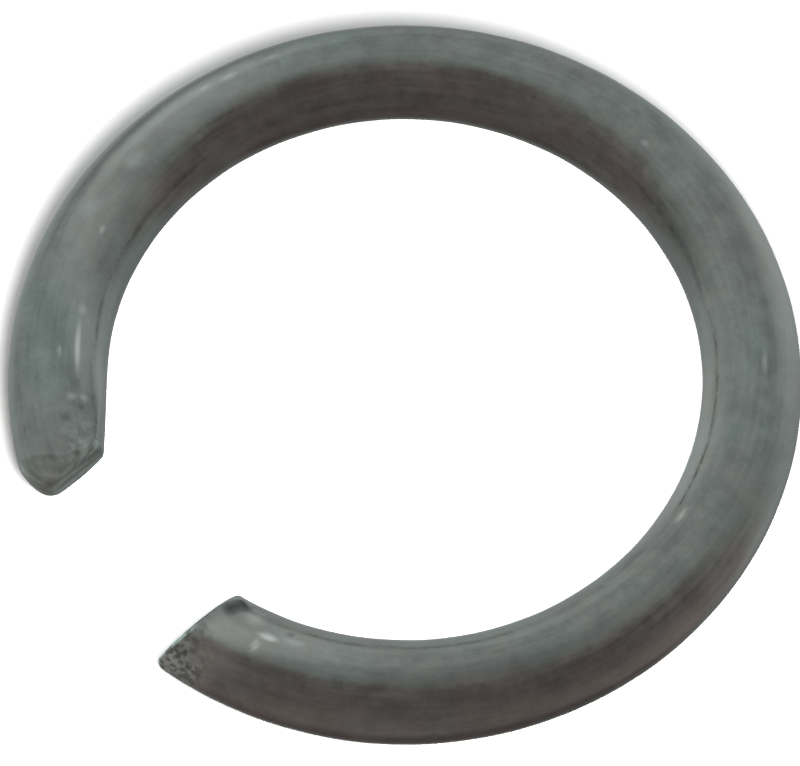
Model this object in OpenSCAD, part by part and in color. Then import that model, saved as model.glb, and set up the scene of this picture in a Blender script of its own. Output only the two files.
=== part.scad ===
// Circlip retaining ring of round spring wire, free and lying flat.
// All lengths are in millimetres. The ring's axis is Z, and the ring rests on Z = 0.

/* [Ring] */
// Diameter of the round spring wire
wire_d = 3; // [2:0.1:4]
// Outside diameter of the free ring
ring_od = 24; // [20:0.5:60]

/* [End gap] */
// Distance between the two ends, across the gap at the middle of the wire
gap_w = 6.3; // [5:0.1:10]
// Direction that the gap faces, anticlockwise from +X, in degrees
gap_dir = 218; // [0:0.5:359.5]

/* [Pointed end] */
// Lean of the cut from upright, with its top edge set back, in degrees
point_lean = 12; // [0:1:25]
// Turn of the cut from the gap's own line, with its outer tip set back, in degrees
point_toe = 4; // [0:1:15]
// Length that the rounding takes off the outer tip
point_trim = 0.05; // [0:0.05:0.6]
// How far the rounding's ball stands out past the wire
point_round = 0.6; // [0.2:0.1:1]

/* [Blunt end] */
// Overhang of the cut from upright, with its bottom edge set back, in degrees
blunt_overhang = 12; // [0:1:20]
// Turn of the cut from the gap's own line, with its outer corner standing forward, in degrees
blunt_turn = 5; // [0:1:10]
// Length that the rounding takes off the outer corner
blunt_trim = 1.1; // [0.05:0.05:1.2]
// How far the rounding's ball stands out past the wire's outer side
blunt_round = 0.2; // [0.2:0.05:1]
// How far the ball's middle lies inside the middle of the wire, towards the ring's axis
blunt_inset = 0.7; // [0:0.05:1]
// Depth of the flat on the inner side, where it meets the cut
flat_depth = 0.7; // [0.1:0.05:0.9]
// Length of the flat along the wire
flat_len = 4.3; // [1:0.1:6]

/* [Hidden] */
$fn = 128;
steel = [0.36, 0.39, 0.38];
wire_r = wire_d / 2;
mid_r = (ring_od - wire_d) / 2;
// Angle from the gap's middle to each end, at the middle of the wire
end_angle = asin(gap_w / 2 / mid_r);
// Side of a block that is larger than anything it has to clear away
reach = 2 * wire_d;
// Clearance round the wire of the sleeve that takes an end's waste away
sleeve_gap = 0.1;

// Length of the wire between a rounding's centre and the end's cut, at the middle of the wire.
// The ball leaves the wire's outer side at grip, the cut's leading corner stands out by lead, and
// trim is what the ball takes off that corner.
function nose_back(toe, round, trim, inset) =
    let (
        grip = sqrt(pow(wire_r + round + inset, 2) - pow(wire_r + inset, 2)),
        lead = wire_r * tan(abs(end_angle - toe))
    )
    grip + trim - lead;

// Angle from the gap's middle to a rounding's centre
function nose_angle(toe, round, trim, inset) =
    end_angle + nose_back(toe, round, trim, inset) / mid_r * 180 / PI;

// Moves its children to an angle from the gap's middle, at inset inside the middle of the wire
module on_wire(angle, inset = 0) {
    rotate([0, 0, angle])
        translate([mid_r - inset, 0, wire_r])
            rotate([0, 0, -angle])
                children();
}

// The whole torus of wire, before it is cut
module closed_wire() {
    rotate_extrude()
        translate([mid_r, wire_r])
            circle(d = wire_d);
}

// All that lies on the gap's side of one end's cut
module gap_side(lean, toe) {
    on_wire(end_angle)
        rotate([-lean, 0, toe])
            translate([-reach, -2 * reach, -reach])
                cube(2 * reach);
}

// Square sleeve round the wire, from the gap's middle to an angle on this side of it
module sleeve(angle) {
    rotate_extrude(angle = angle)
        translate([mid_r, wire_r])
            square(wire_d + 2 * sleeve_gap, center = true);
}

// What one end loses to its cut
module cut_waste(lean, toe) {
    intersection() {
        sleeve(end_angle + reach / mid_r * 180 / PI);
        gap_side(lean, toe);
    }
}

// What one end loses to its rounding, all of it ahead of the ball's centre
module round_waste(toe, round, trim, inset = 0) {
    ball_angle = nose_angle(toe, round, trim, inset);
    difference() {
        sleeve(ball_angle);
        on_wire(ball_angle, inset)
            sphere(wire_r + round + inset);
    }
}

// Wedge that flattens the inner side of an end, from the surface at flat_len behind the cut down
// to flat_depth at the cut
module inner_flat() {
    inner_r = mid_r - wire_r;
    start_angle = end_angle + flat_len / mid_r * 180 / PI;
    start = inner_r * [cos(start_angle), sin(start_angle)];
    finish = (inner_r + flat_depth) * [cos(end_angle), sin(end_angle)];
    run = finish - start;
    translate(start)
        rotate([0, 0, atan2(run.y, run.x)])
            translate([0, -wire_r, -sleeve_gap])
                cube([norm(run) + wire_r, wire_r, wire_d + 2 * sleeve_gap]);
}

module ring() {
    color(steel)
        rotate([0, 0, gap_dir])
            difference() {
                closed_wire();
                cut_waste(point_lean, point_toe);
                round_waste(point_toe, point_round, point_trim);
                mirror([0, 1, 0]) {
                    cut_waste(-blunt_overhang, -blunt_turn);
                    round_waste(-blunt_turn, blunt_round, blunt_trim, blunt_inset);
                    inner_flat();
                }
            }
}

ring();
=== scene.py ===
"""Looks of an open retaining ring of round spring wire, lying free on a pale studio floor.

The ring is one closed surface, worked out as whole arrays along the wire and round it. Its two
ends are the sheared and rounded ends of the part's source, with their sizes repeated here.
"""

import logging
import math
from dataclasses import dataclass, field
from enum import Enum

import bpy
import numpy as np
from mathutils import Matrix, Vector


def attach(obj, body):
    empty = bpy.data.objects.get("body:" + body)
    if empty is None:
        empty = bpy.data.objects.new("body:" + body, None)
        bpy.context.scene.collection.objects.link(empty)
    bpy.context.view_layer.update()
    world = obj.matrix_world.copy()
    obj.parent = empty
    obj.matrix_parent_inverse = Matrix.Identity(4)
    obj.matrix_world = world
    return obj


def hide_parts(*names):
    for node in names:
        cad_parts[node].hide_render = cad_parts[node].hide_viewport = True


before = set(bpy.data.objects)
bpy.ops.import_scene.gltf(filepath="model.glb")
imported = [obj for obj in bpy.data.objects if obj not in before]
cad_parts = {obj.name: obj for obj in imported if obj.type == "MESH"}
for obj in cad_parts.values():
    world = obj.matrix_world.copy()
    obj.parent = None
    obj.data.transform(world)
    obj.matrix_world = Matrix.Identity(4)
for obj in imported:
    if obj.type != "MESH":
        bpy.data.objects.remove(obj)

Array = np.ndarray
Socket = bpy.types.NodeSocket
Triple = tuple[float, float, float]
MM = 0.001
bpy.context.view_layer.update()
log = logging.getLogger("ring_scene")


def placed(name: str, data: bpy.types.ID) -> bpy.types.Object:
    """Makes an object of a mesh, a camera or a light, and links it to the scene.

    Args:
        name: Name of the object.
        data: What it shows.

    Returns:
        The new object, at the origin.
    """
    made = bpy.data.objects.new(name, data)
    bpy.context.scene.collection.objects.link(made)
    return made


# Surfaces


def smooth_max(x: Array, y: Array, width: float) -> Array:
    """The larger of two values, with the crease between them rounded.

    Where the two differ by less than width, the square of what is missing to width, over four
    widths, is added to the larger one.

    Args:
        x: First values.
        y: Second values.
        width: Difference below which the crease is rounded.

    Returns:
        The rounded maximum.
    """
    missing = np.maximum(width - np.abs(x - y), 0.0)
    return np.maximum(x, y) + missing**2 / (4.0 * width)


def bump_shape(distance: Array) -> Array:
    """A round hump: one at distance nought, falling smoothly to nought at distance one."""
    return np.clip(1.0 - distance**2, 0.0, 1.0) ** 2


def wrapped(angle: Array) -> Array:
    """The same angle, between minus and plus half a turn."""
    return np.mod(angle + math.pi, 2.0 * math.pi) - math.pi


@dataclass(frozen=True)
class WireEnd:
    """One sheared end of the wire, seen in a frame whose +X is the middle of the gap.

    Attributes:
        lean: Lean of the cut from upright, with its top edge set back, in radians. A cut that
            overhangs has a lean below nought.
        toe: Turn of the cut from the gap's own line, with its outer corner set back, in radians. A
            corner that stands forward has a toe below nought.
        round_out: How far the rounding's ball stands out past the wire's outer side.
        inset: How far the ball's middle lies inside the middle of the wire.
        trim: Length that the rounding takes off the leading corner.
        ridge_r: Width over which the cut's plane and the ball run into one another.
        edge_r: Least radius on the edge between the cut and the wire's surface.
        crown_r: What is added to that radius at the crown.
        crown_turn: Place round the wire where the edge is roundest, in radians.
        fresh: How far the cut shows sheared steel and not the coat, from nought to one.
    """

    lean: float
    toe: float
    round_out: float
    inset: float
    trim: float
    ridge_r: float
    edge_r: float
    crown_r: float
    crown_turn: float
    fresh: float

    def edge(self, turn: Array) -> Array:
        """Radius of the edge at places round the wire: a raised cosine about the crown, squared.

        Args:
            turn: Places round the wire in radians.

        Returns:
            The radii.
        """
        near = 0.5 + 0.5 * np.cos(turn - self.crown_turn)
        return self.edge_r + self.crown_r * near**2

    def ball_angle(self, ring: "RetainingRing") -> float:
        """Angle from the gap's middle to the centre of the rounding's ball.

        Args:
            ring: The ring that the end belongs to.

        Returns:
            The angle in radians.
        """
        far = ring.wire_r + self.inset
        grip = math.sqrt((far + self.round_out) ** 2 - far**2)
        lead = ring.wire_r * math.tan(abs(ring.end_angle - self.toe))
        return ring.end_angle + (grip + self.trim - lead) / ring.mid_r

    def cut_angle(self, ring: "RetainingRing", out: Array, up: Array) -> Array:
        """Angle from the gap's middle at which a line along the wire leaves the steel.

        A line at one place of the section runs round the axis as a circle. It meets the cut's plane
        where A cos(angle) + B sin(angle) = C, and the ball where the cosine of the angle between
        them is (r^2 + R^2 + up^2 - S^2) / (2 r R). The later of the two ends the line.

        Args:
            ring: The ring that the end belongs to.
            out: Offsets from the wire's middle, away from the axis.
            up: Offsets from the wire's middle, upwards.

        Returns:
            The angles in radians, of the same shape as the offsets.
        """
        radius = ring.mid_r + out
        across = math.cos(self.lean)
        nx, ny, nz = math.sin(self.toe) * across, -math.cos(self.toe) * across, math.sin(self.lean)
        level = ring.mid_r * (nx * math.cos(ring.end_angle) + ny * math.sin(ring.end_angle))
        reach = math.hypot(nx, ny)
        share = np.clip((level - nz * up) / (reach * radius), -1.0, 1.0)
        by_plane = math.atan2(ny, nx) + np.arccos(share)
        ball_r = ring.wire_r + self.round_out + self.inset
        centre_r = ring.mid_r - self.inset
        cosine = radius**2 + centre_r**2 + up**2 - ball_r**2
        cosine = np.clip(cosine / (2.0 * radius * centre_r), -1.0, 1.0)
        by_ball = self.ball_angle(ring) - np.arccos(cosine)
        return smooth_max(by_plane, by_ball, self.ridge_r / ring.mid_r)


@dataclass(frozen=True)
class Mark:
    """A mark or a patch on the wire, an oval that fades smoothly to its outline.

    Attributes:
        angle: Place round the ring, anticlockwise from +X, in degrees.
        turn: Place round the wire, from its outer side upwards, in degrees.
        length: Half of its length along the wire, in millimetres.
        width: Half of its width round the wire, in millimetres.
        tone: From 1, bare bright steel, also laid as painted highlight, to -1, black scale,
        also laid as painted shade.
        depth: How deep it goes, in millimetres; a negative depth stands out.
    """

    angle: float
    turn: float
    length: float
    width: float
    tone: float
    depth: float = 0.0


@dataclass
class RetainingRing:
    """The open ring of round wire, as one closed surface.

    Attributes:
        mid_r: Radius of the ring at the middle of the wire.
        wire_r: Radius of the wire.
        gap_w: Distance between the two ends at the middle of the wire.
        gap_dir: Direction that the gap faces, anticlockwise from +X, in radians.
        pointed: The end on the anticlockwise side of the gap.
        blunt: The end on the clockwise side of the gap.
        flat_depth: Depth of the flat on the blunt end's inner side, at the cut.
        flat_len: Length of that flat along the wire.
        flat_edge: Width over which the flat runs into the round wire.
        wave_depth: Depth of each of the wire's slow waves.
        calm_angle: Angle at each end over which the waves die out, in radians.
        deep_reach: Least distance from the wire's middle at which a mark has its full depth.
        marks: Dents, nicks, burrs and patches on the wire; some of them are painted light and shade.
        flakes: Places with flakes of scale; their tone is the share of flakes.
        heated: Places with heat colour; their tone is the share of it.
        greened: Places with a strong green cast; their tone is the share of it.
        n_round: Points round the wire.
        n_along: Rows along the wire.
        n_face: Rows across the flat part of a cut.
        n_edge: Rows round the edge of a cut.
        end_step: Spacing of the rows beside a cut, next to that in the middle of the wire.
        step_growth: Growth of the spacing from each row to the next.
        cut_fade: Share of sheared steel at which its fall over a cut's edge starts, before it is
            held to one.
        end_angle: Angle from the gap's middle to each end, in radians, worked out from the others.
    """

    mid_r: float = 10.5 * MM
    wire_r: float = 1.5 * MM
    gap_w: float = 6.3 * MM
    gap_dir: float = math.radians(218.0)
    pointed: WireEnd = WireEnd(
        lean=math.radians(12.0),
        toe=math.radians(4.0),
        round_out=0.6 * MM,
        inset=0.0,
        trim=0.05 * MM,
        ridge_r=0.06 * MM,
        edge_r=0.06 * MM,
        crown_r=0.10 * MM,
        crown_turn=math.radians(90.0),
        fresh=0.3,
    )
    blunt: WireEnd = WireEnd(
        lean=math.radians(-12.0),
        toe=math.radians(-5.0),
        round_out=0.2 * MM,
        inset=0.7 * MM,
        trim=1.1 * MM,
        ridge_r=0.30 * MM,
        edge_r=0.10 * MM,
        crown_r=0.16 * MM,
        crown_turn=math.radians(75.0),
        fresh=1.0,
    )
    flat_depth: float = 0.7 * MM
    flat_len: float = 4.3 * MM
    flat_edge: float = 0.06 * MM
    wave_depth: float = 0.0022 * MM
    calm_angle: float = 0.12
    deep_reach: float = 0.2 * MM
    marks: tuple[Mark, ...] = ()
    flakes: tuple[Mark, ...] = ()
    heated: tuple[Mark, ...] = ()
    greened: tuple[Mark, ...] = ()
    n_round: int = 144
    n_along: int = 560
    n_face: int = 14
    n_edge: int = 12
    end_step: float = 0.22
    step_growth: float = 1.12
    cut_fade: float = 1.8
    end_angle: float = field(init=False)

    def __post_init__(self) -> None:
        """Works out the angle from the gap's middle to each end."""
        self.end_angle = math.asin(self.gap_w / 2.0 / self.mid_r)

    def flat_radius(self, angle: Array) -> Array:
        """Least radius that the flat leaves, at an angle from the gap's middle.

        The flat is an upright plane. Its distance from the ring's axis over the cosine of the angle
        between a place and the plane's own normal is the radius there; before the plane's nearest
        place to the axis the radius stays the least.

        Args:
            angle: Angles from the gap's middle, in radians.

        Returns:
            The radii, of the same shape.
        """
        inner = self.mid_r - self.wire_r
        start_angle = self.end_angle + self.flat_len / self.mid_r
        start = inner * np.array([math.cos(start_angle), math.sin(start_angle)])
        stop_r = inner + self.flat_depth
        stop = stop_r * np.array([math.cos(self.end_angle), math.sin(self.end_angle)])
        run = (stop - start) / np.linalg.norm(stop - start)
        normal = np.array([-run[1], run[0]])
        distance = float(start @ normal)
        facing = math.atan2(normal[1], normal[0])
        return distance / np.cos(np.minimum(angle, facing) - facing)

    def trimmed(self, out: Array, from_gap: Array) -> Array:
        """Outward offsets after the flat has taken its share of the blunt end's inner side.

        Args:
            out: Offsets from the wire's middle, away from the axis.
            from_gap: Angles from the gap's middle on the blunt end's side, in radians.

        Returns:
            The offsets with the flat's plane as their least value.
        """
        least = self.flat_radius(from_gap) - self.mid_r
        return smooth_max(out, least, self.flat_edge)

    def turns(self) -> Array:
        """Places round the wire at which its points stand, from the outer side up, in radians."""
        return np.arange(self.n_round) * (2.0 * math.pi / self.n_round)

    def rim(self, end: WireEnd) -> tuple[Array, Array]:
        """Section offsets all round the edge of one cut. The flat reaches the blunt end only.

        Args:
            end: The end whose edge is wanted.

        Returns:
            The outward and the upward offsets, one for each point round the wire.
        """
        turn = self.turns()
        out, up = self.wire_r * np.cos(turn), self.wire_r * np.sin(turn)
        if end is self.blunt:
            out = self.trimmed(out, end.cut_angle(self, out, up))
        return out, up

    def face_rows(self, end: WireEnd) -> tuple[Array, Array, Array]:
        """Rows that cover one cut, from near its middle to its edge.

        Each row is the edge's outline drawn in towards the wire's middle by a share. Close to the
        edge the angle is set back by a quarter circle of the edge's radius, so that the last row
        runs straight into the wire's surface.

        Args:
            end: The end to cover.

        Returns:
            Angles from the gap's middle, outward offsets and upward offsets, rows by points.
        """
        rim_out, rim_up = self.rim(end)
        edge = end.edge(self.turns())
        plain = np.linspace(0.0, 1.0, self.n_face + 1)[1:, None] * (self.wire_r - edge)
        bend = np.linspace(0.0, math.pi / 2.0, self.n_edge + 1)[1:, None]
        inset = np.concatenate([self.wire_r - plain, edge * (1.0 - np.sin(bend))])
        share = 1.0 - inset / self.wire_r
        out, up = share * rim_out, share * rim_up
        lack = np.clip(edge - inset, 0.0, edge)
        set_back = edge - np.sqrt(np.maximum(edge**2 - lack**2, 0.0))
        return end.cut_angle(self, out, up) + set_back / (self.mid_r + out), out, up

    def row_shares(self) -> Array:
        """Places of the rows along the wire, closer together near the ends.

        Returns:
            The rows' shares of the way.
        """
        row = np.arange(self.n_along + 1)
        from_end = np.minimum(row, row[::-1])
        way = np.cumsum(np.clip(self.end_step * self.step_growth**from_end, 0.0, 1.0))
        return (way / way[-1])[:-1]

    def surface(self) -> dict[str, Array]:
        """The whole surface as a grid of rows along the wire by points round it.

        Between the two edges, a point's angle goes in equal shares from the one edge to the other,
        at a steady place of the section. Shallow waves and the marks change the wire's radius.

        Returns:
            Arrays of the same shape: polar angle, outward and upward offset, turn round the wire,
            cut, the share of sheared steel, tone, which is one on bare bright steel and on painted
            highlights and minus one on black scale and on painted shade, and scaly, heat and cast,
            the shares of flakes, of heat colour and of the green cast.
        """
        p_angle, p_out, p_up = self.face_rows(self.pointed)
        b_angle, b_out, b_up = self.face_rows(self.blunt)
        start = self.gap_dir + p_angle
        stop = self.gap_dir + 2.0 * math.pi - b_angle
        share = self.row_shares()[:, None]
        side = start[-1] * (1.0 - share) + stop[-1] * share
        turn = self.turns()
        radius = self.wire_r - self.waves(side, turn)
        out = radius * np.cos(turn) + 0.0 * side
        up = radius * np.sin(turn) + 0.0 * side
        out = self.trimmed(out, self.gap_dir + 2.0 * math.pi - side)
        angle = np.concatenate([start, side, stop[::-1]])
        out = np.concatenate([p_out, out, b_out[::-1]])
        up = np.concatenate([p_up, up, b_up[::-1]])
        fading = np.clip(np.linspace(self.cut_fade, 0.0, self.n_edge), 0.0, 1.0)
        face = np.concatenate([np.ones(self.n_face), fading])[:, None]
        p_cut, b_cut = self.pointed.fresh * face, self.blunt.fresh * face[::-1]
        cut = np.concatenate([p_cut + 0.0 * start, 0.0 * side, b_cut + 0.0 * stop])
        turn = turn + 0.0 * angle
        out, up, tone = self.marked(angle, turn, out, up)
        grid = {"angle": angle, "out": out, "up": up, "turn": turn, "cut": cut, "tone": tone}
        grid["scaly"] = self.covered(self.flakes, angle, turn)
        grid["heat"] = self.covered(self.heated, angle, turn)
        grid["cast"] = self.covered(self.greened, angle, turn)
        return grid

    def spot_shape(self, spot: Mark, angle: Array, turn: Array) -> Array:
        """A round hump over one mark's oval, from one at its middle to nought at its outline.

        Args:
            spot: The mark.
            angle: Polar angles in radians.
            turn: Places round the wire in radians.

        Returns:
            The heights of the hump.
        """
        along = wrapped(angle - math.radians(spot.angle)) * self.mid_r / (spot.length * MM)
        off = wrapped(turn - math.radians(spot.turn)) * self.wire_r / (spot.width * MM)
        return bump_shape(np.hypot(along, off))

    def covered(self, spots: tuple[Mark, ...], angle: Array, turn: Array) -> Array:
        """How far some ovals cover the surface: the highest of their humps, times their tones.

        Args:
            spots: The ovals.
            angle: Polar angles in radians.
            turn: Places round the wire in radians.

        Returns:
            The share that is covered, from nought to one.
        """
        share = np.zeros_like(angle)
        for spot in spots:
            share = np.maximum(share, spot.tone * self.spot_shape(spot, angle, turn))
        return share

    def waves(self, angle: Array, turn: Array) -> Array:
        """Shallow unevenness of coiled wire: three slow sine waves along it and round it.

        Args:
            angle: Polar angles in radians.
            turn: Places round the wire in radians.

        Returns:
            How far the surface lies inside a true round wire, never below nought.
        """
        wave = 3.0 + np.sin(9.0 * angle + 0.7 + np.sin(turn))
        wave = wave + np.sin(17.0 * angle + 2.0 * turn + 1.9) + np.sin(31.0 * angle - 3.0 * turn)
        from_start = angle - self.gap_dir - self.end_angle
        to_stop = self.gap_dir + 2.0 * math.pi - self.end_angle - angle
        calm = np.clip(np.minimum(from_start, to_stop) / self.calm_angle, 0.0, 1.0)
        return self.wave_depth * wave * calm

    def marked(
        self, angle: Array, turn: Array, out: Array, up: Array
    ) -> tuple[Array, Array, Array]:
        """Presses the marks into the wire, or raises them from it.

        A mark is a round hump over an oval, and it moves the surface along the section's radius.

        Args:
            angle: Polar angles in radians.
            turn: Places round the wire in radians.
            out: Outward offsets.
            up: Upward offsets.

        Returns:
            The new outward and upward offsets, and the tone.
        """
        tone = np.zeros_like(angle)
        for mark in self.marks:
            shape = self.spot_shape(mark, angle, turn)
            reach = np.hypot(out, up)
            scale = 1.0 - mark.depth * MM * shape / np.maximum(reach, self.deep_reach)
            out, up = out * scale, up * scale
            tone = tone + mark.tone * shape
        return out, up, np.clip(tone, -1.0, 1.0)

    def build(self, name: str) -> bpy.types.Object:
        """Makes the closed mesh: a fan at each pole, and four-sided faces between the rows.

        Args:
            name: Name of the piece.

        Returns:
            The finished object, at the origin.
        """
        grid = self.surface()
        rows, cols = grid["angle"].shape
        place = self.to_points(grid["angle"], grid["out"], grid["up"])
        along = (grid["angle"] - self.gap_dir) * self.mid_r
        wire_place = np.stack([along, grid["out"], grid["up"]], axis=-1)
        poles = self.pole_points()
        verts = np.concatenate([poles[0][None, :3], place.reshape(-1, 3), poles[1][None, :3]])
        wires = np.concatenate([poles[0][None, 3:], wire_place.reshape(-1, 3), poles[1][None, 3:]])
        cut = [self.pointed.fresh], grid["cut"].ravel(), [self.blunt.fresh]
        shares = {"cut_face": np.concatenate(cut)}
        for label in ("tone", "scaly", "heat", "cast"):
            shares[label] = np.pad(grid[label].ravel(), 1)
        index = 1 + np.arange(rows * cols).reshape(rows, cols)
        ahead = np.roll(index, -1, axis=1)
        quads = np.stack([index[:-1], ahead[:-1], ahead[1:], index[1:]], axis=-1).reshape(-1, 4)
        last = rows * cols + 1
        first_fan = np.stack([np.zeros(cols, int), ahead[0], index[0]], axis=-1)
        last_fan = np.stack([np.full(cols, last), index[-1], ahead[-1]], axis=-1)
        mesh = bpy.data.meshes.new(name)
        faces = first_fan.tolist() + quads.tolist() + last_fan.tolist()
        mesh.from_pydata(verts.tolist(), [], faces)
        wire_values = mesh.attributes.new("wire_place", "FLOAT_VECTOR", "POINT").data
        wire_values.foreach_set("vector", wires.astype(np.float32).ravel())
        for label, values in shares.items():
            plain = mesh.attributes.new(label, "FLOAT", "POINT").data
            plain.foreach_set("value", values.astype(np.float32))
        mesh.polygons.foreach_set("use_smooth", np.ones(len(mesh.polygons), bool))
        mesh.update()
        mesh.validate()
        return placed(name, mesh)

    def to_points(self, angle: Array, out: Array, up: Array) -> Array:
        """Places in space: the radius turned by the polar angle, and the height off the floor.

        Args:
            angle: Polar angles in radians.
            out: Outward offsets.
            up: Upward offsets.

        Returns:
            Points, with the coordinates along the last axis.
        """
        radius = self.mid_r + out
        height = np.maximum(self.wire_r + up, 0.0)
        return np.stack([radius * np.cos(angle), radius * np.sin(angle), height], axis=-1)

    def pole_points(self) -> list[Array]:
        """The middle point of each cut.

        Returns:
            Its place in space and then its place along the wire, six numbers each.
        """
        nought = np.zeros(1)
        found = []
        for end, sign in ((self.pointed, 1.0), (self.blunt, -1.0)):
            turned = sign * end.cut_angle(self, nought, nought)
            angle = self.gap_dir + turned + (0.0 if sign > 0 else 2.0 * math.pi)
            point = self.to_points(angle, nought, nought)[0]
            along = (angle - self.gap_dir)[0] * self.mid_r
            found.append(np.concatenate([point, [along, 0.0, 0.0]]))
        return found


# Finishes


class Blend(Enum):
    """How one colour is laid over another."""

    MIX = "MIX"
    MULTIPLY = "MULTIPLY"


@dataclass(frozen=True)
class Spread:
    """A range of values and the range that it is spread over, smoothly and clamped.

    Attributes:
        low: Where the first range starts.
        high: Where it ends.
        to_low: Result at its start.
        to_high: Result at its end.
    """

    low: float
    high: float
    to_low: float = 0.0
    to_high: float = 1.0


@dataclass(frozen=True)
class Grain:
    """Noise that a look follows.

    Attributes:
        scale: Features per metre.
        detail: Number of finer layers.
        rough: Strength of each finer layer.
        stretch: Further scale along each axis.
        shift: Distance along each axis at which it is read.
    """

    scale: float
    detail: float
    rough: float = 0.6
    stretch: Triple = (1.0, 1.0, 1.0)
    shift: Triple = (0.0, 0.0, 0.0)


class Net:
    """Short ways to add nodes to one node tree."""

    def __init__(self, tree: bpy.types.NodeTree) -> None:
        """Keeps the tree and empties it."""
        self.tree = tree
        tree.nodes.clear()

    def node(self, kind: str, **values: object) -> bpy.types.Node:
        """Adds a node.

        Args:
            kind: Blender's name for the kind of node.
            values: Properties to set on it.

        Returns:
            The new node.
        """
        made = self.tree.nodes.new(kind)
        for name, value in values.items():
            setattr(made, name, value)
        return made

    def link(self, value: object, socket: Socket) -> None:
        """Feeds a socket from another socket, a number or a colour.

        Args:
            value: What to feed it with.
            socket: The input to feed.
        """
        if isinstance(value, Socket):
            self.tree.links.new(value, socket)
        elif isinstance(value, tuple) and socket.type == "RGBA":
            socket.default_value = (*value, 1.0)
        else:
            socket.default_value = value

    def shader(self) -> bpy.types.Node:
        """Adds the surface shader and the output.

        Returns:
            The shader.
        """
        shader = self.node("ShaderNodeBsdfPrincipled")
        output = self.node("ShaderNodeOutputMaterial")
        self.link(shader.outputs["BSDF"], output.inputs["Surface"])
        return shader

    def attribute(self, name: str, output: str) -> Socket:
        """Reads one of the piece's own attributes.

        Args:
            name: Name of the attribute.
            output: Which of the node's outputs to take.

        Returns:
            That output.
        """
        return self.node("ShaderNodeAttribute", attribute_name=name).outputs[output]

    def noise(self, vector: Socket, grain: Grain) -> Socket:
        """Adds noise.

        Args:
            vector: Where it is read.
            grain: Its sizes.

        Returns:
            The noise, from 0 to 1.
        """
        place = self.node("ShaderNodeMapping")
        self.link(vector, place.inputs["Vector"])
        place.inputs["Scale"].default_value = grain.stretch
        place.inputs["Location"].default_value = grain.shift
        made = self.node("ShaderNodeTexNoise")
        self.link(place.outputs["Vector"], made.inputs["Vector"])
        made.inputs["Scale"].default_value = grain.scale
        made.inputs["Detail"].default_value = grain.detail
        made.inputs["Roughness"].default_value = grain.rough
        return made.outputs["Fac"]

    def ranged(self, value: Socket, spread: Spread) -> Socket:
        """Spreads a value from one range over another, smoothly and clamped.

        Args:
            value: The value.
            spread: The two ranges.

        Returns:
            The result.
        """
        made = self.node("ShaderNodeMapRange", interpolation_type="SMOOTHSTEP")
        self.link(value, made.inputs["Value"])
        made.inputs["From Min"].default_value = spread.low
        made.inputs["From Max"].default_value = spread.high
        made.inputs["To Min"].default_value = spread.to_low
        made.inputs["To Max"].default_value = spread.to_high
        return made.outputs["Result"]

    def math(self, operation: str, a: object, b: object) -> Socket:
        """Combines two numbers.

        Args:
            operation: Blender's name for the sum.
            a: First number or socket.
            b: Second number or socket.

        Returns:
            The result.
        """
        made = self.node("ShaderNodeMath", operation=operation)
        self.link(a, made.inputs[0])
        self.link(b, made.inputs[1])
        return made.outputs["Value"]

    def between(self, share: object, a: object, b: object) -> Socket:
        """A number between two others, at a share of the way.

        Args:
            share: Share of the way, from 0 to 1.
            a: The number at 0.
            b: The number at 1.

        Returns:
            The result.
        """
        made = self.node("ShaderNodeMix", data_type="FLOAT")
        self.link(share, made.inputs[0])
        self.link(a, made.inputs[2])
        self.link(b, made.inputs[3])
        return made.outputs[0]

    def mixed(self, blend: Blend, share: object, a: object, b: object) -> Socket:
        """Lays one colour over another.

        Args:
            blend: How it is laid.
            share: How much of it.
            a: The colour below.
            b: The colour above.

        Returns:
            The result.
        """
        made = self.node("ShaderNodeMix", data_type="RGBA", blend_type=blend.value)
        self.link(share, made.inputs[0])
        self.link(a, made.inputs[6])
        self.link(b, made.inputs[7])
        return made.outputs[2]

    def grey(self, value: Socket) -> Socket:
        """A grey of the given value.

        Args:
            value: The value.

        Returns:
            The colour.
        """
        made = self.node("ShaderNodeCombineColor")
        for socket in made.inputs:
            self.link(value, socket)
        return made.outputs["Color"]

    def bump(self, height: Socket, strength: float, distance: float) -> Socket:
        """Tilts the surface by a height.

        Args:
            height: The height, from 0 to 1.
            strength: Share of the tilt that is used.
            distance: What a height of 1 measures, in metres.

        Returns:
            The tilted normal.
        """
        made = self.node("ShaderNodeBump")
        self.link(height, made.inputs["Height"])
        made.inputs["Strength"].default_value = strength
        made.inputs["Distance"].default_value = distance
        return made.outputs["Normal"]


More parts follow.
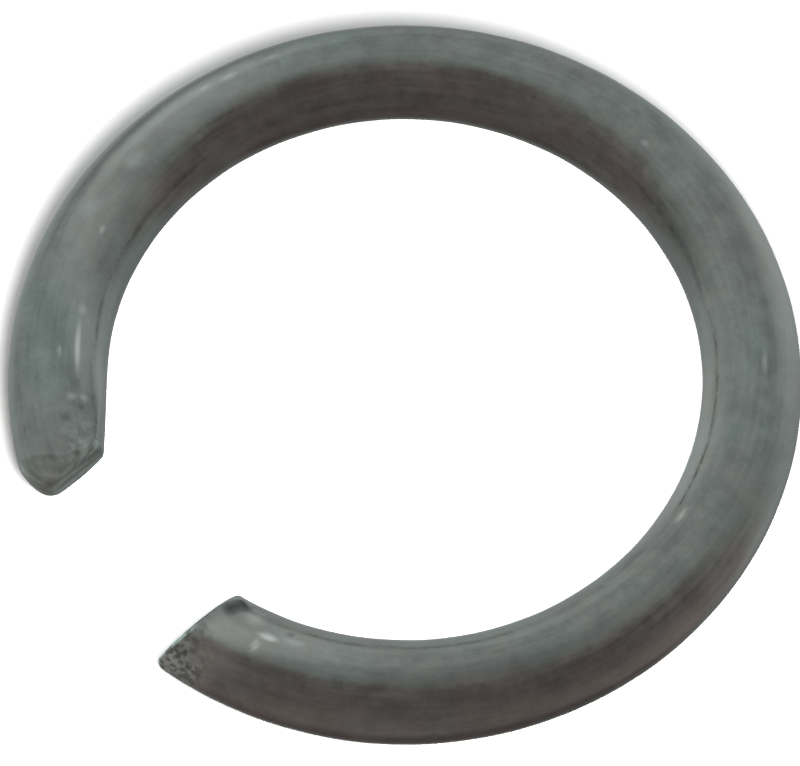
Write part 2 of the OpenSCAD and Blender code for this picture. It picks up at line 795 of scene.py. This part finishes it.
@dataclass(frozen=True)
class SpringSteel:
    """Dull drawn spring steel with a thin dark coat, streaked along the wire and mottled.

    Attributes:
        green: Colour where the coat has a green cast.
        brown: Colour where the coat is brown and darker.
        plum: Colour where heat has turned the coat.
        bright: Colour of bare steel in a nick, also laid as painted highlights and light.
        scale: Colour of black scale, also laid as painted shade.
        sheared: Colour of a cut face.
        flaked: Colour of the coat among flakes of scale.
        verdant: Colour where the green cast is strongest.
        roughness: Mean roughness of the coat.
        cut_roughness: Roughness of a cut face.
        bare_gloss: What bare steel takes off the roughness.
        metallic: How far the surface is metal.
        mottle: Change between green and brown.
        patch: Lighter and darker patches.
        speck: Fine grain.
        streak: Drawing lines along the wire.
        flake: Flakes of scale.
        ripple: Ripples on a cut.
        mottle_tint: Share of green, by the mottling.
        mottle_heat: Strength of the heat colour, by the mottling.
        patch_shade: Brightness, by the patches.
        streak_shade: Brightness, by the drawing lines.
        speck_shade: Brightness, by the grain.
        flake_shade: Brightness among flakes, by the flakes.
        flake_cover: Share of the flaked colour, by the share of flakes.
        ripple_shade: Brightness of a cut, by the ripples.
        streak_rough: What the drawing lines add to the roughness.
        patch_rough: What the patches add to the roughness.
        streak_relief: Height of the drawing lines, as a share of the relief.
        speck_relief: Height of the grain, as a share of the relief.
        relief: Height of the relief in metres.
        relief_share: Share of the relief's tilt that is used.
    """

    green: Triple = (0.283, 0.311, 0.299)
    brown: Triple = (0.294, 0.290, 0.284)
    plum: Triple = (0.345, 0.272, 0.290)
    bright: Triple = (0.85, 0.86, 0.84)
    scale: Triple = (0.06, 0.06, 0.055)
    sheared: Triple = (0.53, 0.63, 0.61)
    flaked: Triple = (0.268, 0.318, 0.308)
    verdant: Triple = (0.276, 0.323, 0.308)
    roughness: float = 0.32
    cut_roughness: float = 0.6
    bare_gloss: float = 0.12
    metallic: float = 1.0
    mottle: Grain = Grain(420.0, 4.0)
    patch: Grain = Grain(1300.0, 3.0, shift=(0.031, 0.017, 0.0))
    speck: Grain = Grain(7000.0, 2.0)
    streak: Grain = Grain(5200.0, 3.0, stretch=(0.05, 1.0, 1.0))
    flake: Grain = Grain(5400.0, 1.0, 0.4)
    ripple: Grain = Grain(2200.0, 2.0, 0.5, stretch=(0.2, 0.25, 1.0))
    mottle_tint: Spread = Spread(0.36, 0.64)
    mottle_heat: Spread = Spread(0.35, 0.6, 1.0, 0.35)
    patch_shade: Spread = Spread(0.32, 0.68, 0.88, 1.12)
    streak_shade: Spread = Spread(0.3, 0.7, 0.9, 1.1)
    speck_shade: Spread = Spread(0.3, 0.7, 0.96, 1.04)
    flake_shade: Spread = Spread(0.36, 0.62, 0.9, 2.3)
    flake_cover: Spread = Spread(0.3, 0.7)
    ripple_shade: Spread = Spread(0.35, 0.65, 0.78, 1.18)
    streak_rough: Spread = Spread(0.3, 0.7, -0.05, 0.06)
    patch_rough: Spread = Spread(0.3, 0.7, -0.04, 0.05)
    streak_relief: float = 0.45
    speck_relief: float = 0.4
    relief: float = 0.012 * MM
    relief_share: float = 0.25

    def material(self, name: str) -> bpy.types.Material:
        """Builds the material.

        Args:
            name: Name of the material.

        Returns:
            The finished material.
        """
        mat = bpy.data.materials.new(name)
        mat.use_nodes = True
        net = Net(mat.node_tree)
        shader = net.shader()
        place = net.node("ShaderNodeTexCoord").outputs["Object"]
        wire = net.attribute("wire_place", "Vector")
        patch = net.noise(place, self.patch)
        speck = net.noise(place, self.speck)
        streak = net.noise(wire, self.streak)
        # Tone above nought lays bare steel and painted highlights; below nought, black scale and
        # painted shade
        tone = net.attribute("tone", "Fac")
        bare = net.math("MAXIMUM", tone, 0.0)
        black = net.math("MAXIMUM", net.math("MULTIPLY", tone, -1.0), 0.0)
        coat, shade = self.coat(net, place, self.shade(net, patch, streak, speck))
        base = self.cut(net, wire, coat, shade)
        base = net.mixed(Blend.MIX, bare, base, self.bright)
        base = net.mixed(Blend.MIX, black, base, self.scale)
        net.link(base, shader.inputs["Base Color"])
        net.link(self.rough(net, streak, patch, bare), shader.inputs["Roughness"])
        shader.inputs["Metallic"].default_value = self.metallic
        lines = net.math("MULTIPLY", streak, self.streak_relief)
        height = net.math("ADD", lines, net.math("MULTIPLY", speck, self.speck_relief))
        tilt = net.bump(height, self.relief_share, self.relief)
        net.link(tilt, shader.inputs["Normal"])
        return mat

    def shade(self, net: Net, patch: Socket, streak: Socket, speck: Socket) -> Socket:
        """How light the coat is: the patches, the drawing lines and the grain, multiplied.

        Args:
            net: The material's nodes.
            patch: Noise of the patches.
            streak: Noise of the drawing lines.
            speck: Noise of the grain.

        Returns:
            The factor, about one.
        """
        shade = net.ranged(patch, self.patch_shade)
        shade = net.math("MULTIPLY", shade, net.ranged(streak, self.streak_shade))
        return net.math("MULTIPLY", shade, net.ranged(speck, self.speck_shade))

    def coat(self, net: Net, place: Socket, shade: Socket) -> tuple[Socket, Socket]:
        """The coat's colour, with heat colour, green cast and flakes of scale where they lie.

        Args:
            net: The material's nodes.
            place: Places on the object.
            shade: How light the coat is.

        Returns:
            The colour, and the shade with the flakes in it.
        """
        mottle = net.noise(place, self.mottle)
        base = net.mixed(Blend.MIX, net.ranged(mottle, self.mottle_tint), self.brown, self.green)
        heat = net.attribute("heat", "Fac")
        heat = net.math("MULTIPLY", heat, net.ranged(mottle, self.mottle_heat))
        base = net.mixed(Blend.MIX, heat, base, self.plum)
        base = net.mixed(Blend.MIX, net.attribute("cast", "Fac"), base, self.verdant)
        scaly = net.attribute("scaly", "Fac")
        flake = net.ranged(net.noise(place, self.flake), self.flake_shade)
        shade = net.math("MULTIPLY", shade, net.between(scaly, 1.0, flake))
        base = net.mixed(Blend.MIX, net.ranged(scaly, self.flake_cover), base, self.flaked)
        return net.mixed(Blend.MULTIPLY, 1.0, base, net.grey(shade)), shade

    def cut(self, net: Net, wire: Socket, coat: Socket, shade: Socket) -> Socket:
        """Lays rippled sheared steel over the coat on the cut faces.

        Args:
            net: The material's nodes.
            wire: Places along, out from and up the wire.
            coat: The coat's colour.
            shade: How light the steel is.

        Returns:
            The colour.
        """
        ripple = net.ranged(net.noise(wire, self.ripple), self.ripple_shade)
        torn = net.grey(net.math("MULTIPLY", ripple, shade))
        face = net.mixed(Blend.MULTIPLY, 1.0, self.sheared, torn)
        return net.mixed(Blend.MIX, net.attribute("cut_face", "Fac"), coat, face)

    def rough(self, net: Net, streak: Socket, patch: Socket, bare: Socket) -> Socket:
        """The roughness, uneven with the lines and patches, less where bare and more on a cut.

        Args:
            net: The material's nodes.
            streak: Noise of the drawing lines.
            patch: Noise of the patches.
            bare: Share of bare steel, painted highlights included.

        Returns:
            The roughness.
        """
        rough = net.math("ADD", net.ranged(streak, self.streak_rough), self.roughness)
        rough = net.math("ADD", rough, net.ranged(patch, self.patch_rough))
        rough = net.math("SUBTRACT", rough, net.math("MULTIPLY", bare, self.bare_gloss))
        more = self.cut_roughness - self.roughness
        more = net.math("MULTIPLY", net.attribute("cut_face", "Fac"), more)
        return net.math("ADD", rough, more)


@dataclass(frozen=True)
class PaleFloor:
    """Matt white paint with a glow that grows far out, where the key light is weak.

    Attributes:
        white: Colour of the paint.
        roughness: Roughness of the paint.
        glow: Strength of its own light, by the distance from the ring's axis.
    """

    white: Triple = (0.9, 0.9, 0.9)
    roughness: float = 0.9
    glow: Spread = Spread(18.0 * MM, 70.0 * MM, 0.06, 0.55)

    def material(self, name: str) -> bpy.types.Material:
        """Builds the material.

        Args:
            name: Name of the material.

        Returns:
            The finished material.
        """
        mat = bpy.data.materials.new(name)
        mat.use_nodes = True
        net = Net(mat.node_tree)
        shader = net.shader()
        net.link(self.white, shader.inputs["Base Color"])
        net.link((1.0, 1.0, 1.0), shader.inputs["Emission Color"])
        shader.inputs["Roughness"].default_value = self.roughness
        shader.inputs["Specular IOR Level"].default_value = 0.0
        away = net.node("ShaderNodeVectorMath", operation="LENGTH")
        net.link(net.node("ShaderNodeTexCoord").outputs["Object"], away.inputs[0])
        glow = net.ranged(away.outputs["Value"], self.glow)
        net.link(glow, shader.inputs["Emission Strength"])
        return mat


# Studio


class Sheet(Enum):
    """Shape of a round sheet of the studio."""

    FLAT = "flat"
    DOME = "dome"


@dataclass
class Studio:
    """Pale floor, soft light from above and behind, and the camera at the photograph's angle.

    Attributes:
        floor_r: Radius of the floor and of the backdrop.
        n_rings: Rings of points on the floor and on the backdrop, with the middle.
        n_spokes: Points on each ring.
        aim: Point that the camera looks at.
        distance: Distance from the camera to that point.
        tilt: Angle of the camera's line of sight from upright, in radians.
        roll: Turn of the camera about its line of sight, in radians.
        lens: Focal length in millimetres on a sensor 36 wide.
        shift: Sideways and upward shift of the frame.
        sky: Colour of the light from above and behind.
        front: Colour of the light from the camera's side.
        front_reach: Where, from the camera's side to the back, the dark light gives way.
        side_change: Brightness from left to right.
        low_change: Brightness of the camera side's light from below upwards.
        under_change: Brightness of all light from straight below upwards.
        under_end: Where, towards the back, that last change dies out.
        key_place: Place of the key light, which shines at the ring's middle.
        key_size: Diameter of the key light.
        key_power: Power of the key light in watts.
    """

    floor_r: float = 0.6
    n_rings: int = 24
    n_spokes: int = 96
    aim: Triple = (0.0, 0.0, 1.5 * MM)
    distance: float = 88.73 * MM
    tilt: float = 0.4686
    roll: float = 0.0116
    lens: float = 131.7
    shift: tuple[float, float] = (-0.0064, -0.0215)
    sky: Triple = (0.504, 0.543, 0.529)
    front: Triple = (0.215, 0.18, 0.172)
    front_reach: Spread = Spread(-0.16, 0.02)
    side_change: Spread = Spread(-0.7, 0.7, 1.12, 0.95)
    low_change: Spread = Spread(-0.7, 0.7, 1.28, 1.0)
    under_change: Spread = Spread(-0.9, -0.6, 0.58, 1.0)
    under_end: Spread = Spread(0.3, 0.6)
    key_place: Triple = (4.5 * MM, -24.5 * MM, 41.0 * MM)
    key_size: float = 20.0 * MM
    key_power: float = 0.06

    def camera(self) -> None:
        """Makes the camera and sets it as the scene's own."""
        data = bpy.data.cameras.new("camera")
        data.lens, data.sensor_width = self.lens, 36.0
        data.shift_x, data.shift_y = self.shift
        data.clip_start, data.clip_end = 0.001, 10.0
        made = placed("camera", data)
        back = Vector((0.0, -math.sin(self.tilt), math.cos(self.tilt)))
        turn = (-back).to_track_quat("-Z", "Y").to_matrix().to_4x4()
        place = Matrix.Translation(Vector(self.aim) + back * self.distance)
        made.matrix_world = place @ turn @ Matrix.Rotation(self.roll, 4, "Z")
        bpy.context.scene.camera = made

    def sheet(self, name: str, shape: Sheet) -> bpy.types.Object:
        """Makes a round sheet at the floor's level, as wide as the floor, or a dome on its rim.

        Points stand on rings about the upright axis. On a flat sheet a ring's radius grows evenly;
        on a dome it is the sine of an even fall from the top, and the height is its cosine.

        Args:
            name: Name of the object.
            shape: Its shape.

        Returns:
            The new object.
        """
        share = np.linspace(0.0, 1.0, self.n_rings)[1:, None]
        turn = np.linspace(0.0, 2.0 * math.pi, self.n_spokes, endpoint=False)[None, :]
        if shape is Sheet.DOME:
            ring_r = self.floor_r * np.sin(share * math.pi / 2.0)
            rise = self.floor_r * np.cos(share * math.pi / 2.0)
        else:
            ring_r, rise = self.floor_r * share, 0.0 * share
        place = np.stack(
            [ring_r * np.cos(turn), ring_r * np.sin(turn), rise + 0.0 * turn], axis=-1
        )
        rows, cols = place.shape[:2]
        top = [[0.0, 0.0, self.floor_r if shape is Sheet.DOME else 0.0]]
        index = 1 + np.arange(rows * cols).reshape(rows, cols)
        ahead = np.roll(index, -1, axis=1)
        quads = np.stack([index[:-1], index[1:], ahead[1:], ahead[:-1]], axis=-1).reshape(-1, 4)
        fan = np.stack([np.zeros(cols, int), index[0], ahead[0]], axis=-1)
        mesh = bpy.data.meshes.new(name)
        mesh.from_pydata(top + place.reshape(-1, 3).tolist(), [], fan.tolist() + quads.tolist())
        mesh.update()
        return placed(name, mesh)

    def floor(self) -> None:
        """Makes the floor. It isn't seen in the steel, whose camera side stays dark."""
        made = self.sheet("floor", Sheet.FLAT)
        made.visible_glossy = False
        made.data.materials.append(PaleFloor().material("pale_floor"))

    def backdrop(self) -> None:
        """Makes a white dome that only the camera sees, behind what the floor doesn't fill."""
        made = self.sheet("backdrop", Sheet.DOME)
        for kind in ("diffuse", "glossy", "transmission", "volume_scatter", "shadow"):
            setattr(made, "visible_" + kind, False)
        mat = bpy.data.materials.new("pale_backdrop")
        mat.use_nodes = True
        net = Net(mat.node_tree)
        glow = net.node("ShaderNodeEmission")
        output = net.node("ShaderNodeOutputMaterial")
        net.link(glow.outputs[0], output.inputs["Surface"])
        made.data.materials.append(mat)

    def key(self) -> None:
        """Makes the soft key light, near and above the front of the ring. It whitens the floor."""
        data = bpy.data.lights.new("key", "AREA")
        data.shape = "DISK"
        data.size = self.key_size
        data.energy = self.key_power
        made = placed("key", data)
        place = Vector(self.key_place)
        turn = place.to_track_quat("Z", "Y").to_matrix().to_4x4()
        made.matrix_world = Matrix.Translation(place) @ turn
        made.visible_glossy = False

    def sky_light(self) -> None:
        """Makes the light from all round: bright above and behind, dark towards the camera."""
        world = bpy.data.worlds.new("studio")
        world.use_nodes = True
        net = Net(world.node_tree)
        way = net.node("ShaderNodeTexCoord").outputs["Generated"]
        split = net.node("ShaderNodeSeparateXYZ")
        net.link(way, split.inputs[0])
        share = net.ranged(split.outputs["Y"], self.front_reach)
        side = net.ranged(split.outputs["X"], self.side_change)
        low = net.ranged(split.outputs["Z"], self.low_change)
        under = net.ranged(split.outputs["Z"], self.under_change)
        under = net.between(net.ranged(split.outputs["Y"], self.under_end), under, 1.0)
        front = net.mixed(Blend.MULTIPLY, 1.0, self.front, net.grey(low))
        colour = net.mixed(Blend.MIX, share, front, self.sky)
        colour = net.mixed(Blend.MULTIPLY, 1.0, colour, net.grey(net.math("MULTIPLY", side, under)))
        light = net.node("ShaderNodeBackground")
        output = net.node("ShaderNodeOutputWorld")
        net.link(colour, light.inputs["Color"])
        net.link(light.outputs[0], output.inputs["Surface"])
        bpy.context.scene.world = world

    def build(self) -> None:
        """Makes the camera, floor, backdrop and lights, and plain colours for the picture."""
        self.camera()
        self.floor()
        self.backdrop()
        self.key()
        self.sky_light()
        bpy.context.scene.view_settings.view_transform = "Standard"


# Marks on the wire; some are painted highlights, painted light or painted shade, as each group says
RING_MARKS_AND_PAINTED_LIGHT = (
    # Burr on the pointed end's inner corner, its dark stain, partly painted shade, the lighter steel
    # beside it, partly a painted highlight, and the dark band along the cut
    Mark(240.6, 131.0, 0.36, 0.46, 0.0, -0.11),
    Mark(240.0, 117.0, 0.36, 0.34, -0.95),
    Mark(241.2, 130.0, 0.40, 0.36, -0.85),
    Mark(244.4, 124.0, 0.50, 0.50, 0.34),
    Mark(237.4, 74.0, 0.36, 2.0, -0.24),
    # Lighter coat behind the pointed cut, and the darker rim of the blunt end, painted shade
    Mark(241.0, 58.0, 1.5, 0.8, 0.34),
    Mark(206.5, 62.0, 0.6, 0.9, -0.16),
    Mark(203.0, 28.0, 0.4, 0.8, -0.22),
    # Nicks and scuffs down to bare steel, partly painted highlights where the steel catches light
    Mark(248.0, 103.0, 0.42, 0.17, 0.9, 0.05),
    Mark(246.7, 88.0, 0.14, 0.30, 0.5, 0.03),
    Mark(252.0, 107.0, 0.50, 0.16, 0.25, 0.02),
    Mark(251.2, 118.0, 0.16, 0.16, -0.35, 0.02),
    Mark(181.0, 118.0, 1.25, 0.13, 0.75, 0.02),
    Mark(182.0, 97.0, 0.30, 0.08, 0.45, 0.01),
    Mark(173.5, 119.0, 0.26, 0.20, 0.25),
    Mark(188.1, 115.0, 0.30, 0.22, -0.35, 0.02),
    Mark(190.6, 108.0, 0.18, 0.22, 0.35, 0.015),
    Mark(190.8, 123.0, 0.18, 0.20, 0.4, 0.015),
    Mark(157.6, 108.0, 0.20, 0.12, 0.4, 0.015),
    Mark(121.0, 73.0, 0.40, 0.16, 0.3, 0.01),
    Mark(125.5, 70.0, 0.26, 0.14, 0.25, 0.01),
    Mark(113.0, 70.0, 0.34, 0.12, 0.2, 0.01),
    Mark(326.2, 121.0, 0.45, 0.13, 0.5, 0.02),
    Mark(357.4, 81.0, 0.55, 0.10, 0.3, 0.015),
    Mark(349.9, 76.0, 0.40, 0.38, 0.12, 0.01),
    Mark(143.6, 90.0, 0.60, 0.35, 0.2, 0.01),
    Mark(155.0, 83.0, 0.50, 0.35, 0.15, 0.01),
    Mark(44.0, 101.0, 0.20, 0.14, 0.3, 0.015),
    # Dents and scuffs beside the blunt end, and painted shade where its flat meets the cut
    Mark(194.4, 98.0, 0.24, 0.26, -0.4, 0.02),
    Mark(192.6, 117.0, 0.16, 0.20, -0.3, 0.015),
    Mark(198.9, 98.0, 0.18, 0.16, -0.3, 0.02),
    Mark(199.4, 110.0, 0.24, 0.22, 0.22, 0.02),
    Mark(196.6, 92.0, 0.16, 0.14, 0.12, 0.01),
    Mark(201.2, 98.0, 0.12, 0.26, -0.4, 0.02),
    # Painted shade, darkening a highlight where the flat meets the cut
    Mark(200.1, 123.5, 0.42, 0.42, -0.36),
    Mark(195.3, 60.0, 0.14, 0.70, -0.15),
    # Broad lighter and darker patches: partly uneven coat, partly painted light and shade, such as
    # lighter inner sides of the limbs and darker low inner sides near the floor
    Mark(275.0, 20.0, 8.0, 1.0, 0.06),
    Mark(325.0, 28.0, 4.8, 1.0, 0.22),
    Mark(14.0, 45.0, 7.5, 0.8, 0.34),
    Mark(95.0, 46.0, 10.0, 0.36, -0.44),
    Mark(284.0, 3.0, 9.0, 0.42, -0.30),
    Mark(336.0, 136.0, 4.0, 0.6, 0.16),
    Mark(347.0, 147.0, 7.0, 0.9, 0.2),
    Mark(190.5, 148.0, 2.4, 0.5, 0.18),
    Mark(308.0, 20.0, 3.5, 0.8, 0.16),
    Mark(178.0, 150.0, 4.0, 0.6, 0.14),
    Mark(250.0, 112.0, 4.6, 1.0, 0.26),
    Mark(286.0, 126.0, 9.0, 0.45, 0.22),
    Mark(282.0, 84.0, 7.0, 0.42, -0.34),
    Mark(241.5, 86.0, 1.6, 0.55, 0.22),
    Mark(133.0, 71.0, 7.0, 0.34, 0.26),
    Mark(137.0, 52.0, 7.0, 0.22, -0.42),
    Mark(146.0, 138.0, 3.0, 0.7, 0.16),
    Mark(172.0, 112.0, 2.2, 0.6, 0.12),
    Mark(128.0, 82.0, 5.5, 1.1, 0.14),
    Mark(159.0, 94.0, 3.4, 0.9, 0.20),
    Mark(180.0, 132.0, 3.0, 0.9, 0.20),
    Mark(184.0, 45.0, 3.0, 0.7, -0.10),
    Mark(80.0, 166.0, 15.0, 0.8, -0.30),
    Mark(26.0, 150.0, 3.2, 1.1, -0.26),
    Mark(197.0, 165.0, 2.4, 0.9, -0.25),
    # Thin painted light lines on the limbs' inner sides, lifting the dark reflection of the far limb
    # there
    Mark(312.0, 129.0, 3.0, 0.16, 0.14),
    Mark(331.0, 133.5, 3.2, 0.16, 0.26),
    Mark(350.0, 138.0, 3.2, 0.16, 0.28),
    Mark(10.0, 142.5, 3.2, 0.16, 0.26),
    Mark(30.0, 147.0, 3.2, 0.15, 0.16),
    Mark(181.0, 140.0, 3.0, 0.14, 0.2),
    Mark(164.0, 144.0, 3.0, 0.14, 0.2),
)

RING_FLAKES = (
    # The pointed tip
    Mark(236.0, 24.0, 1.5, 2.3, 1.0),
    # The blunt end, along its inner side
    Mark(199.0, 122.0, 1.1, 1.2, 0.26),
)

RING_CAST = (
    # The left limb, the upper left, the right limb and the pointed end
    Mark(180.0, 88.0, 4.4, 2.6, 0.9),
    Mark(112.0, 70.0, 5.0, 1.8, 0.5),
    Mark(352.0, 90.0, 3.0, 1.8, 0.5),
    Mark(241.0, 52.0, 1.8, 1.1, 0.9),
)

RING_HEAT = (
    # Along the outer side, from the pointed end on
    Mark(250.0, 22.0, 3.2, 1.3, 1.0),
    Mark(270.0, 18.0, 3.6, 0.9, 0.7),
    Mark(291.0, 12.0, 2.6, 0.8, 0.6),
    # The inner side at the upper right, and the blunt end
    Mark(62.0, 150.0, 2.4, 0.9, 0.8),
    Mark(201.0, 118.0, 1.6, 1.3, 0.6),
)


def main() -> None:
    """Builds the studio and the ring, and reports each piece."""
    logging.basicConfig(level=logging.INFO, format="%(name)s: %(message)s")
    Studio().build()
    log.info("studio: camera, floor, backdrop and light")
    sizes = RetainingRing(
        marks=RING_MARKS_AND_PAINTED_LIGHT, flakes=RING_FLAKES, heated=RING_HEAT, greened=RING_CAST
    )
    ring = sizes.build("retaining_ring")
    ring.data.materials.append(SpringSteel().material("spring_steel"))
    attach(ring, "root")
    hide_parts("ring")
    log.info("retaining_ring: %d points, %d faces", len(ring.data.vertices), len(ring.data.polygons))


if __name__ == "__main__":
    main()
